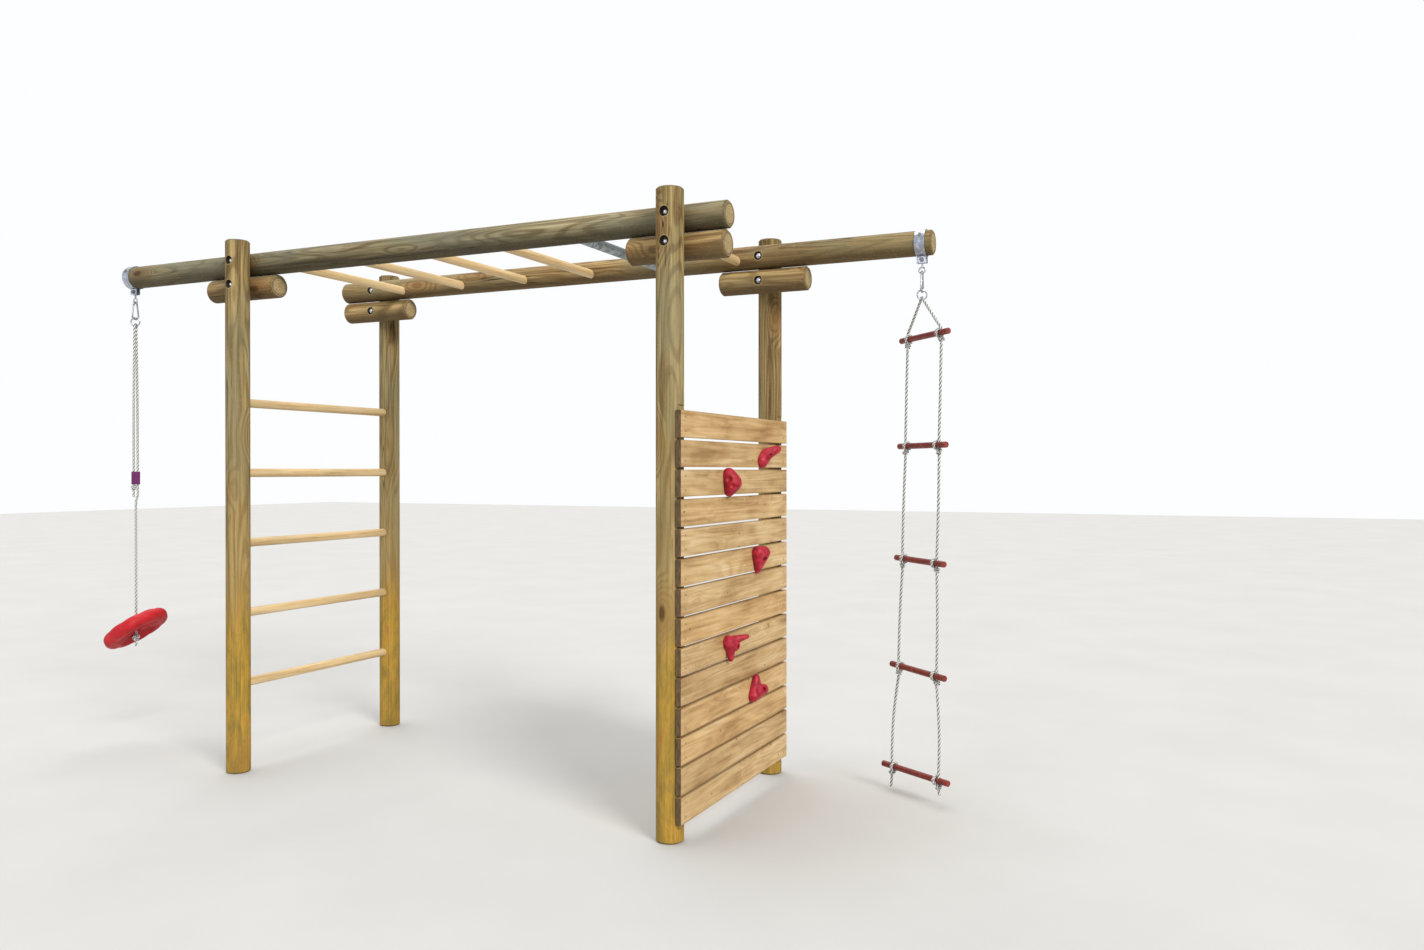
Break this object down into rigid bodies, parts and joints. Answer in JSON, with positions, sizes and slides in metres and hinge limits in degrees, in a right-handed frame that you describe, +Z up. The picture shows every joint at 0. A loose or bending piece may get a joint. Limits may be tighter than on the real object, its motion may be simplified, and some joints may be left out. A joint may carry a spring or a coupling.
{
  "type": "monkey bars",
  "caption": "Round-timber monkey bars with overhead bars, an end ladder, a plank climbing wall with holds, a rope disc swing and a rope ladder on snap hooks.",
  "frame": {"origin": "on the ground, under the middle of the whole object, ropes left out", "axes": "+X along the beams from the swing to the rope ladder, +Y across the frame from the front posts to the back posts, +Z up"},
  "size_m": [3.821, 1.0604, 2.3],
  "materials": {
    "post_wood": "pressure-treated round timber, straw to grey-green, matt",
    "beam_wood": "pressure-treated round timber with end grain showing, matt",
    "rung_wood": "smooth turned hardwood, honey, satin",
    "galvanised_tube": "dull galvanised",
    "plank_wood": "planed softwood boards with knots, satin",
    "hold_resin": "textured cast resin",
    "fastener_zinc": "zinc plated",
    "clamp_zinc": "hot-dip galvanised, spangled",
    "hook_zinc": "zinc plated, slightly worn",
    "rope": "three-strand polyester rope, off-white",
    "adjuster_plastic": "moulded, plum",
    "seat_plastic": "blow-moulded, bright red, satin gloss",
    "painted_rung": "turned wood painted red-brown, worn"
  },
  "bodies": {
    "frame": {"post_front_left": "post_wood", "post_front_right": "post_wood", "post_back_left": "post_wood", "post_back_right": "post_wood", "beam_front": "beam_wood", "beam_back": "beam_wood", "support_log_front_left": "beam_wood", "support_log_front_right": "beam_wood", "support_log_back_left": "beam_wood", "support_log_back_right": "beam_wood", "overhead_rung_1": "rung_wood", "overhead_rung_2": "rung_wood", "overhead_rung_3": "rung_wood", "overhead_rung_4": "rung_wood", "overhead_rung_5": "rung_wood", "steel_overhead_rung": "galvanised_tube", "end_ladder_rung_1": "rung_wood", "end_ladder_rung_2": "rung_wood", "end_ladder_rung_3": "rung_wood", "end_ladder_rung_4": "rung_wood", "end_ladder_rung_5": "rung_wood", "climbing_wall_planks": "plank_wood", "climbing_hold_1": "hold_resin", "climbing_hold_2": "hold_resin", "climbing_hold_3": "hold_resin", "climbing_hold_4": "hold_resin", "climbing_hold_5": "hold_resin", "frame_bolts": "fastener_zinc", "frame_washers": "fastener_zinc", "frame_nuts": "fastener_zinc", "plank_screws": "fastener_zinc", "hold_bolts": "fastener_zinc", "hold_tee_nuts": "fastener_zinc", "beam_clamps": "clamp_zinc", "clamp_bolts": "clamp_zinc", "clamp_nuts": "clamp_zinc", "clamp_screws": "clamp_zinc"},
    "swing_link": {"swing_link": "hook_zinc"},
    "swing_hook": {"swing_hook": "hook_zinc"},
    "swing_gate": {"swing_hook_gate": "hook_zinc"},
    "ladder_link": {"ladder_link": "hook_zinc"},
    "ladder_hook": {"ladder_hook": "hook_zinc"},
    "ladder_gate": {"ladder_hook_gate": "hook_zinc"},
    "swing_line": {"swing_ring": "hook_zinc", "swing_rope_upper": "rope", "swing_rope_adjuster": "adjuster_plastic"},
    "swing_tail": {"swing_rope_lower": "rope", "swing_seat_knot": "rope"},
    "swing_seat": {"swing_disc_seat": "seat_plastic"},
    "ladder_top": {"ladder_ring": "hook_zinc", "rope_ladder_ropes_1": "rope", "rope_ladder_rung_1": "painted_rung"},
    "ladder_step_2": {"rope_ladder_ropes_2": "rope", "rope_ladder_rung_2": "painted_rung"},
    "ladder_step_3": {"rope_ladder_ropes_3": "rope", "rope_ladder_rung_3": "painted_rung"},
    "ladder_step_4": {"rope_ladder_ropes_4": "rope", "rope_ladder_rung_4": "painted_rung"},
    "ladder_step_5": {"rope_ladder_ropes_5": "rope", "rope_ladder_rung_5": "painted_rung"}
  },
  "joints": [
    {"name": "swing_link_pivot", "type": "hinge", "parent": "frame", "child": "swing_link", "pos_m": [-1.783, -0.387, 2.144], "axis": [0, 1, 0], "range_deg": [-8, 35]},
    {"name": "swing_hook_swing", "type": "hinge", "parent": "swing_link", "child": "swing_hook", "pos_m": [-1.783, -0.387, 2.09], "axis": [1, 0, 0], "range_deg": [-60, 60]},
    {"name": "swing_gate_open", "type": "hinge", "parent": "swing_hook", "child": "swing_gate", "pos_m": [-1.783, -0.39616, 2.08219], "axis": [1, 0, 0], "range_deg": [0, 25], "stiffness_Nm_per_rad": 0.03, "springref_deg": -20.05},
    {"name": "swing_ring_pivot", "type": "hinge", "parent": "swing_hook", "child": "swing_line", "pos_m": [-1.783, -0.387, 2.016], "axis": [0, -1, 0], "range_deg": [-25, 8]},
    {"name": "ladder_link_pivot", "type": "hinge", "parent": "frame", "child": "ladder_link", "pos_m": [1.768, 0.387, 2.144], "axis": [0, -1, 0], "range_deg": [-5, 30]},
    {"name": "ladder_hook_swing", "type": "hinge", "parent": "ladder_link", "child": "ladder_hook", "pos_m": [1.768, 0.387, 2.09], "axis": [1, 0, 0], "range_deg": [-40, 40]},
    {"name": "ladder_gate_open", "type": "hinge", "parent": "ladder_hook", "child": "ladder_gate", "pos_m": [1.768, 0.37783, 2.08219], "axis": [1, 0, 0], "range_deg": [0, 25], "stiffness_Nm_per_rad": 0.03, "springref_deg": -20.05},
    {"name": "ladder_ring_pivot", "type": "hinge", "parent": "ladder_hook", "child": "ladder_top", "pos_m": [1.768, 0.387, 2.016], "axis": [0, 1, 0], "range_deg": [-20, 5]},
    {"name": "swing_rope_twist", "type": "hinge", "parent": "swing_line", "child": "swing_tail", "pos_m": [-1.783, -0.387, 1.1497], "axis": [0, 0, 1], "range_deg": [-180, 180]},
    {"name": "swing_seat_tilt", "type": "hinge", "parent": "swing_tail", "child": "swing_seat", "pos_m": [-1.783, -0.387, 0.562], "axis": [0.2756, -0.9613, 0], "range_deg": [-70, 0]},
    {"name": "ladder_bend_2", "type": "hinge", "parent": "ladder_top", "child": "ladder_step_2", "pos_m": [1.776, 0.387, 1.814], "axis": [0.6947, -0.7193, 0], "range_deg": [-15, 15]},
    {"name": "ladder_bend_3", "type": "hinge", "parent": "ladder_step_2", "child": "ladder_step_3", "pos_m": [1.768, 0.387, 1.379], "axis": [-0.6947, 0.7193, 0], "range_deg": [-20, 20]},
    {"name": "ladder_bend_4", "type": "hinge", "parent": "ladder_step_3", "child": "ladder_step_4", "pos_m": [1.758, 0.387, 0.919], "axis": [0.7071, -0.7071, 0], "range_deg": [-30, 30]},
    {"name": "ladder_bend_5", "type": "hinge", "parent": "ladder_step_4", "child": "ladder_step_5", "pos_m": [1.75, 0.387, 0.479], "axis": [-0.7547, 0.6561, 0], "range_deg": [-45, 45]}
  ]
}
